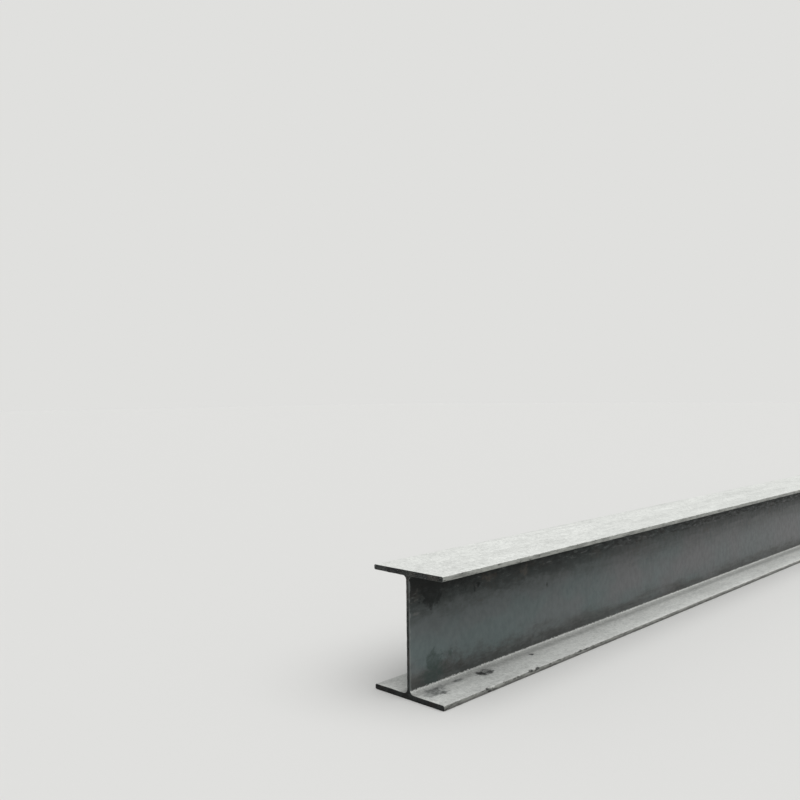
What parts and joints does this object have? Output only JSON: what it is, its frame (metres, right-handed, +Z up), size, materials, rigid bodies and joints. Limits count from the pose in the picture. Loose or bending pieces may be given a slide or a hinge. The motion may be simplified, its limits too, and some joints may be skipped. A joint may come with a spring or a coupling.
{
  "type": "steel h-beam",
  "caption": "Hot-rolled H-section steel beam with parallel wide flanges, filleted web roots, rounded flange toes and square sawn ends, lying on its lower flange.",
  "frame": {"origin": "on the floor under the web, at the middle of the beam's length", "axes": "+X along the beam, towards its far end; +Y across the flanges; +Z up through the web, from the lower flange to the upper one"},
  "size_m": [6, 0.25, 0.34],
  "materials": {
    "mill_scale_steel": "hot-rolled mill scale, matt blue-grey, with pale dust on the upward faces and brown rust stains"
  },
  "bodies": {
    "root": {"h_beam": "mill_scale_steel"}
  },
  "joints": []
}
